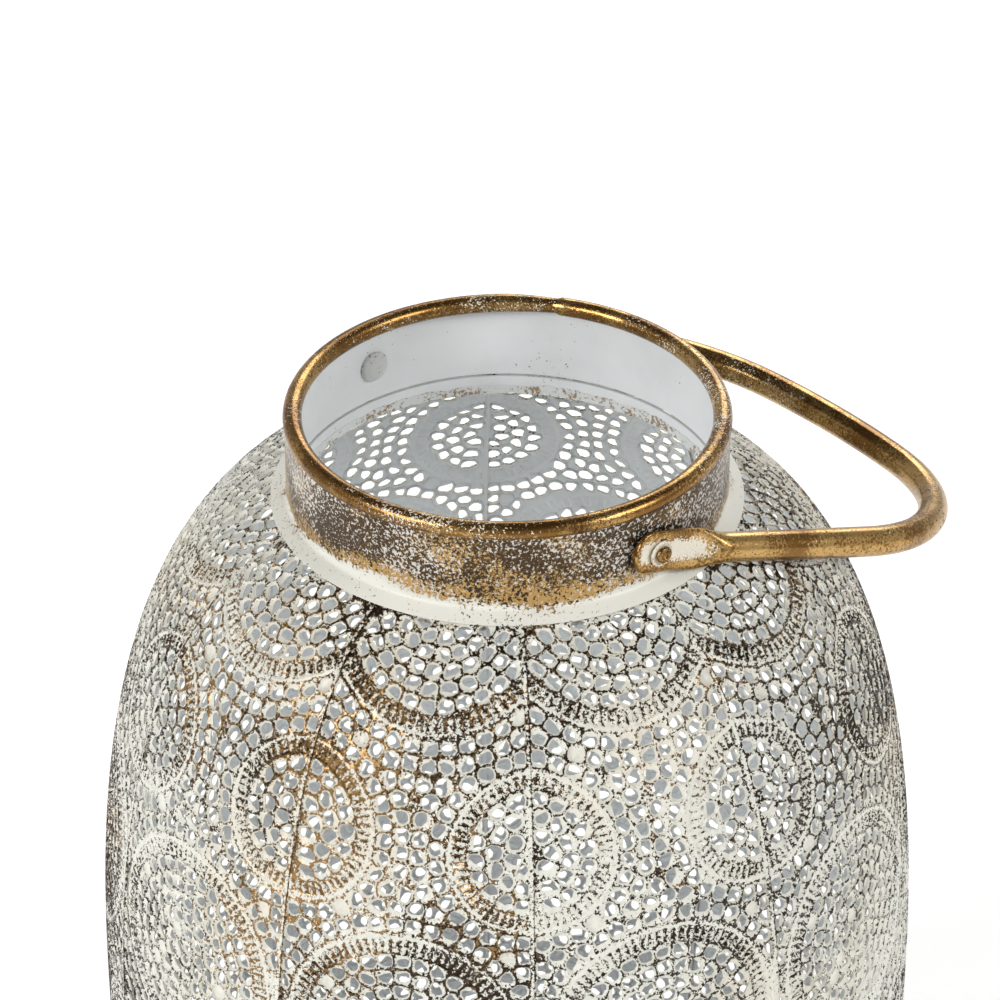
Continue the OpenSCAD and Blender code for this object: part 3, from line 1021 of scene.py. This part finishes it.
def make_handle():
    """A rolled tube, its butt seam on the inner side, with flat rounded ends dished between raised edges."""
    line = [Vector(p) for p in bail_line()]
    around = 32
    seam = around // 8
    washed = []
    hinge = Matrix.Translation(pivot) @ Matrix.Rotation(REST_TILT, 4, "Y")
    verts, faces = [], []
    for k, p in enumerate(line):
        ahead = (line[min(k + 1, len(line) - 1)] - line[max(k - 1, 0)]).normalized()
        flat = 0.0 if p.x > TAB_FULL else 1 - ease((p.x - TAB_FLAT) / (TAB_FULL - TAB_FLAT))
        end = 1.0
        if p.x < -3.5:
            end = math.sqrt(max(0.03, 1 - ((-3.5 - p.x) / (TAB_END - 3.5 + 0.1)) ** 2))
        across = TUBE_R + (TAB_T / 2 - TUBE_R) * flat
        wide = (TUBE_R + (TAB_HALF_W - TUBE_R) * flat) * end
        for j in range(around):
            a = FULL_TURN * j / around
            c, s = math.cos(a), math.sin(a)
            shift = across * math.copysign(abs(c) ** (1 - 0.45 * flat), c)
            up = wide * s
            dish = 0.0
            if flat > 0 and c < 0:
                dish = flat * ease(1.25 - abs(s) * 1.5) * ease((p.x + TAB_END) / 3.0)
                shift *= 1 - 0.5 * dish
            if flat == 0 and j == seam:
                shift *= 0.93
                up *= 0.93
            washed.append(dish)
            spot = Vector((p.x + shift * ahead.y, p.y - shift * ahead.x, up)) * MM
            verts.append(hinge @ spot)
    for k in range(len(line) - 1):
        for j in range(around):
            a, b = k * around + j, k * around + (j + 1) % around
            faces.append((a, b, b + around, a + around))
    faces.append(tuple(range(around - 1, -1, -1)))
    faces.append(tuple(range((len(line) - 1) * around, len(line) * around)))
    handle = new_piece("bail_tube", verts, faces, [handle_gold])
    handle.data.attributes.new("washed", "FLOAT", "POINT").data.foreach_set("value", washed)
    only(handle)
    bpy.ops.object.mode_set(mode="EDIT")
    bpy.ops.mesh.select_all(action="SELECT")
    bpy.ops.mesh.normals_make_consistent(inside=False)
    bpy.ops.object.mode_set(mode="OBJECT")
    smooth(handle, 50)
    settle(handle, "bail", ["handle"])


def lay_on_pivot(piece, side):
    """Turns a piece made upright on Z so that its axis runs out along Y through the pivot."""
    turn = Matrix.Rotation(math.pi / 2 * (1 if side < 0 else -1), 4, "X")
    piece.data.transform(Matrix.Translation((0, 0, pivot.z)) @ turn)


def make_rivets():
    tab_out = TAB_MID + TAB_T / 2
    wall_in = (collar_r - collar_t) / MM
    head_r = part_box("rivet_front")[1].x / MM
    for side, where in ((-1, "front"), (1, "back")):
        seat = math.sqrt(wall_in ** 2 - head_r ** 2)
        top = tab_out + 0.15 + 0.6 + 1.1
        corners = [(0.02, seat - 2.1, 0), (0.5 * head_r, seat - 1.95, 1.5), (0.9 * head_r, seat - 1.2, 0.8),
                   (head_r - 0.05, seat - 0.6, 0.4), (head_r - 0.05, seat, 0.1),
                   (1.95, seat, 0), (1.95, top - 1.1, 0), (2.55, top - 1.0, 0.3),
                   (2.3, top, 0.5), (1.3, top, 0.3),
                   (0.9, top - 0.5, 0.3), (0.02, top - 0.5, 0)]
        rivet = turned("rivet_" + where + "_body", rounded(corners, 4), 40)
        # The dome takes the darkened grey as painted shade
        rivet.data.materials.append(rivet_shade_paint)
        rivet.data.materials.append(bead_gold)
        rivet.data.materials.append(weld_edge_and_rim_shade)
        # Faces outside the wall take the gold; the ring round the head's edge takes the weld-edge finish as
        # a painted dark outline of shade
        for face in rivet.data.polygons:
            if face.center.z > wall_in * MM:
                face.material_index = 1
            elif face.center.z > (seat - 0.55) * MM:
                face.material_index = 2
        lay_on_pivot(rivet, side)
        smooth(rivet, 45)
        settle(rivet, "lantern", ["rivet_" + where])

        low = tab_out + 0.15
        corners = [(2.03, low, 0.1), (3.88, low, 0.1), (3.88, low + 0.35, 0.25), (3.3, low + 0.58, 0.3),
                   (2.9, low + 0.3, 0.3), (2.03, low + 0.3, 0.1)]
        washer = turned("washer_" + where + "_disc", rounded(corners, 3), 48)
        washer.data.materials.append(handle_gold)
        cover = [0.75] * len(washer.data.vertices)
        washer.data.attributes.new("washed", "FLOAT", "POINT").data.foreach_set("value", cover)
        lay_on_pivot(washer, side)
        smooth(washer, 45)
        settle(washer, "lantern", ["washer_" + where])


def make_candle_glass():
    low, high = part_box("candle_glass")
    r, foot, top = high.x / MM - 0.02, low.z / MM + 0.01, high.z / MM - 0.02
    wall = 2.5
    corners = [(0.02, foot + 0.6, 0), (r - 12, foot + 0.6, 0.5), (r - 9, foot, 0.6),
               (r, foot, 2.5), (r, top, 1.2),
               (r - wall, top, 1.2), (r - wall, foot + 5, 4.5), (0.02, foot + 5, 0)]
    glass = turned("candle_tumbler", rounded(corners, 6), 128)
    glass.data.materials.append(clear_glass)
    smooth(glass, 40)
    settle(glass, "glass", ["candle_glass"])


make_camera()
make_studio()
make_gores()
make_collar()
make_rim_bead()
make_neck_hoop()
make_base()
make_handle()
make_rivets()
make_candle_glass()
